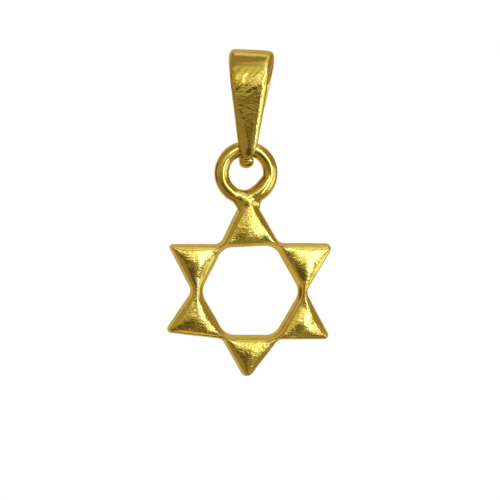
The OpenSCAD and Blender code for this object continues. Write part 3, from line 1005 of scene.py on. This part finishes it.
def make_light(stage, name, azimuth, elevation, distance, width, height, radiance, colour):
    """A soft box that faces the pendant. radiance is how bright it looks in a mirror."""
    data = bpy.data.lights.new(name, "AREA")
    data.shape = "RECTANGLE"
    data.size, data.size_y = width, height
    data.energy = radiance * math.pi * width * height
    data.color = colour
    way = beside_camera(stage, azimuth, elevation)
    light = bpy.data.objects.new(name, data)
    light.location = Vector(stage.target) + way * distance
    light.rotation_mode = "QUATERNION"
    light.rotation_quaternion = way.to_track_quat("Z", "Y")
    light.visible_camera = False
    bpy.context.scene.collection.objects.link(light)
    return light


def make_camera(stage):
    data = bpy.data.cameras.new("camera")
    camera = bpy.data.objects.new("camera", data)
    back = toward(math.degrees(stage.camera_azimuth), math.degrees(stage.camera_elevation))
    target = Vector(stage.target)
    camera.location = target + back * stage.camera_distance
    camera.rotation_mode = "QUATERNION"
    camera.rotation_quaternion = back.to_track_quat("Z", "Y")
    data.lens = data.sensor_width * stage.camera_distance / stage.frame_width
    data.clip_start, data.clip_end = 0.01, 10
    bpy.context.scene.collection.objects.link(camera)
    bpy.context.scene.camera = camera
    return camera


def metres(name, description, default):
    return bpy.props.FloatProperty(
        name=name, description=description, default=default, unit="LENGTH", precision=5)


def degrees(name, description, default):
    return bpy.props.FloatProperty(
        name=name, description=description, default=math.radians(default), subtype="ANGLE")


def tint(name, description, default):
    return bpy.props.FloatVectorProperty(
        name=name, description=description, default=default, subtype="COLOR", min=0, max=1)


def number(name, description, default):
    return bpy.props.FloatProperty(name=name, description=description, default=default)


class StarSizes(bpy.types.PropertyGroup):
    """Sizes of the cast star."""

    reach: metres("Reach", "From the middle to a point, before its tip is rounded", 7.7 * MM)
    hole_apothem: metres("Hole", "From the hole's middle to the middle of one of its sides", 3.55 * MM)
    tip_round: metres("Tip round", "Radius of a typical tip on the front face", 0.15 * MM)
    notch_round: metres("Notch round", "Radius of the hollow corner between two points", 0.75 * MM)
    hole_round: metres("Hole corner round", "Radius of the hole's corners", 1.3 * MM)
    edge_depth: metres("Edge depth", "Thickness of the metal along its edges", 1.2 * MM)
    back_cover: metres("Back cover", "How far the flat back lies behind the ring's wire", 0.03 * MM)
    wall_lean: metres("Wall lean", "How far the outer walls lean in towards the front", 0.12 * MM)
    hole_lean: metres("Hole lean", "How far the hole's walls lean away from it towards the front", 0.3 * MM)
    edge_round: metres("Edge round", "Width of the rounded edge round the front face", 0.08 * MM)
    shoulder_height: metres("Shoulder height", "Height of the shoulder over the edges", 0.08 * MM)
    shoulder_width: metres("Shoulder width", "Width of the shoulder along the outer edges", 0.4 * MM)
    bank_width: metres("Bank width", "Width of the shoulder along the hole", 0.8 * MM)
    pillow_height: metres("Pillow height", "Height of the low pillow on top of the shoulders", 0.24 * MM)
    pillow_width: metres("Pillow width", "How far from the edges the pillow is full", 1.4 * MM)
    tip_fall: metres("Tip fall", "How much thinner a typical point is at its tip", 0.2 * MM)
    voxel: metres("Mesh size", "Size of the faces of the fused skin", 0.06 * MM)
    unevenness: metres("Unevenness", "Height of the broad unevenness that hand work leaves", 0.02 * MM)
    wrinkle: metres("Wrinkle", "Height of the wrinkles in the skin", 0.006 * MM)


class RingSizes(bpy.types.PropertyGroup):
    """Sizes of the hanging ring."""

    wire: metres("Wire", "Thickness of the ring's wire", 1.18 * MM)
    diameter: metres("Diameter", "Diameter of the circle that the middle of the wire follows", 3.94 * MM)
    aside: metres("Aside", "How far the ring stands to the left of the star's middle", 0.35 * MM)
    solder_drop: metres("Solder", "Height of the solder below the ring", 0.45 * MM)


class BailSizes(bpy.types.PropertyGroup):
    """Sizes of the strap bail."""

    drop: metres("Drop", "From the chain seat down to the middle of the ring's wire", 7.25 * MM)
    bend_radius: metres("Bend radius", "Radius of the top bend's inner face, over the chain", 0.62 * MM)
    ease_radius: metres("Ease radius", "Radius of the inner face where a leg begins", 3.2 * MM)
    top_width: metres("Top width", "Width of the strap where it passes over the chain", 3.7 * MM)
    foot_width: metres("Foot width", "Width of the strap at the ring's wire", 1.5 * MM)
    thickness: metres("Thickness", "Thickness of the strap", 0.74 * MM)
    hook_thickness: metres("Hook thickness", "Thickness of the hook under the wire", 0.96 * MM)
    side_play: metres("Side play", "Clear space between the wire and the strap", 0.28 * MM)
    seat_play: metres("Seat play", "Clear space between the wire and the hook", 0.12 * MM)
    foot_length: metres("Foot length", "Length of the front leg's rounded foot", 1.4 * MM)
    foot_short: metres("Foot short", "How far the foot stops short of the hook's inner face", 0.06 * MM)
    filed_start: number("Filed from", "Share of the drop from which the left side is filed down", 0.3)
    filed_slope: number("Filed slope", "Slope of the filed side", 0.32)
    lean: degrees("Lean", "Lean of the bail to one side", 3)
    top_turn: degrees("Top turn", "Turn of the bail's top towards the left", 13)
    foot_turn: degrees("Foot turn", "Turn that is left at the ring's wire", 4)
    unevenness: metres("Unevenness", "Height of the broad unevenness that hand work leaves", 0.012 * MM)
    wrinkle: metres("Wrinkle", "Height of the wrinkles in the plating", 0.003 * MM)
    hand_marks: metres("Hand marks", "Height of the slanting ripples below the top bend", 0.042 * MM)


class GoldFinish(bpy.types.PropertyGroup):
    """Colour and polish of the gold."""

    gold: tint("Gold", "Colour of the polished plate", (0.60, 0.42, 0.07))
    deep_gold: tint("Deep gold", "Colour where the plate is richer", (0.57, 0.385, 0.05))
    # Painted shade: the darker colour in the grain's pits stands in for the shade there
    painted_pit_shade: tint("Shade in pits", "Colour in the fine pits of the skin", (0.3, 0.19, 0.02))
    edge_gold: tint("Edge gold", "Tint of the plate where it is seen at a low angle", (0.72, 0.6, 0.36))
    lacquer: number("Lacquer", "Strength of the clear lacquer", 0.25)
    polish: number("Polish", "Roughness of the smoothest metal", 0.1)
    dullness: number("Dullness", "Roughness that the skin adds", 0.1)
    peel: metres("Peel", "Depth of the orange-peel skin", 0.03 * MM)
    grain: metres("Grain", "Depth of the fine grain", 0.042 * MM)
    scratches: metres("Scratches", "Depth of the file marks", 0.012 * MM)


class StudioSettings(bpy.types.PropertyGroup):
    """Camera, floor and lights."""

    camera_azimuth: degrees("Camera azimuth", "Turn of the camera round the pendant", -7)
    camera_elevation: degrees("Camera elevation", "Angle at which the camera looks down", 4)
    camera_distance: metres("Camera distance", "From the camera to the pendant", 0.35)
    frame_width: metres("Frame width", "Width that the picture shows at the pendant", 40.35 * MM)
    target: bpy.props.FloatVectorProperty(
        name="Target", description="Place in the middle of the picture",
        default=(-0.13 * MM, 0, -15.44 * MM), subtype="TRANSLATION")
    floor_drop: metres("Floor drop", "How far the floor is below the chain seat", 0.3)
    floor_size: metres("Floor size", "Width of the floor", 3.0)
    tent_colour: tint("Tent colour", "Tone of the tent where no card hangs", (0.46, 0.42, 0.33))


class PENDANT_OT_bail(bpy.types.Operator):
    """Build the folded strap bail"""

    bl_idname = "pendant.bail"
    bl_label = "Bail"

    def execute(self, context):
        scene = context.scene
        material = gold_material("gold_bail", scene.pendant_bail_finish, BAIL_FACE)
        mesh = bail_mesh(scene.pendant_bail, scene.pendant_ring)
        show("strap_bail", mesh, "bail", "bail", material)
        return {"FINISHED"}


class PENDANT_OT_star(bpy.types.Operator):
    """Build the cast star with its soldered ring"""

    bl_idname = "pendant.star"
    bl_label = "Star and ring"

    def execute(self, context):
        scene = context.scene
        material = gold_material("gold_star", scene.pendant_star_finish, STAR_FACE)
        mesh = star_mesh(scene.pendant_star, scene.pendant_ring)
        show("star_with_ring", mesh, "star", "star", material)
        return {"FINISHED"}


class PENDANT_OT_stage(bpy.types.Operator):
    """Set up the floor, the lights and the camera"""

    bl_idname = "pendant.stage"
    bl_label = "Stage"

    def execute(self, context):
        stage = context.scene.pendant_stage
        context.scene.view_settings.view_transform = "Standard"
        make_floor(stage)
        make_world(stage)
        for box in BOXES:
            make_light(stage, *box)
        make_camera(stage)
        return {"FINISHED"}


class PENDANT_PT_panel(bpy.types.Panel):
    """Sidebar panel that lists the pendant's sizes and builds its pieces"""

    bl_idname = "PENDANT_PT_panel"
    bl_label = "Star pendant"
    bl_space_type = "VIEW_3D"
    bl_region_type = "UI"
    bl_category = "Pendant"

    def draw(self, context):
        for operator, groups in PANEL_ROWS:
            box = self.layout.box()
            box.operator(operator)
            for group in groups:
                settings = getattr(context.scene, group)
                for name in settings.__annotations__:
                    box.prop(settings, name)


SETTINGS = {
    "pendant_star": StarSizes,
    "pendant_ring": RingSizes,
    "pendant_bail": BailSizes,
    "pendant_star_finish": GoldFinish,
    "pendant_bail_finish": GoldFinish,
    "pendant_stage": StudioSettings,
}
PANEL_ROWS = [
    ("pendant.bail", ["pendant_bail", "pendant_bail_finish"]),
    ("pendant.star", ["pendant_star", "pendant_ring", "pendant_star_finish"]),
    ("pendant.stage", ["pendant_stage"]),
]
CLASSES = [
    StarSizes, RingSizes, BailSizes, GoldFinish, StudioSettings,
    PENDANT_OT_bail, PENDANT_OT_star, PENDANT_OT_stage, PENDANT_PT_panel,
]


def register():
    for item in CLASSES:
        bpy.utils.register_class(item)
    for name, group in SETTINGS.items():
        setattr(bpy.types.Scene, name, bpy.props.PointerProperty(type=group))


def unregister():
    for name in SETTINGS:
        delattr(bpy.types.Scene, name)
    for item in reversed(CLASSES):
        bpy.utils.unregister_class(item)


def main():
    register()
    bpy.ops.pendant.bail()
    bpy.ops.pendant.star()
    bpy.ops.pendant.stage()


if __name__ == "__main__":
    main()
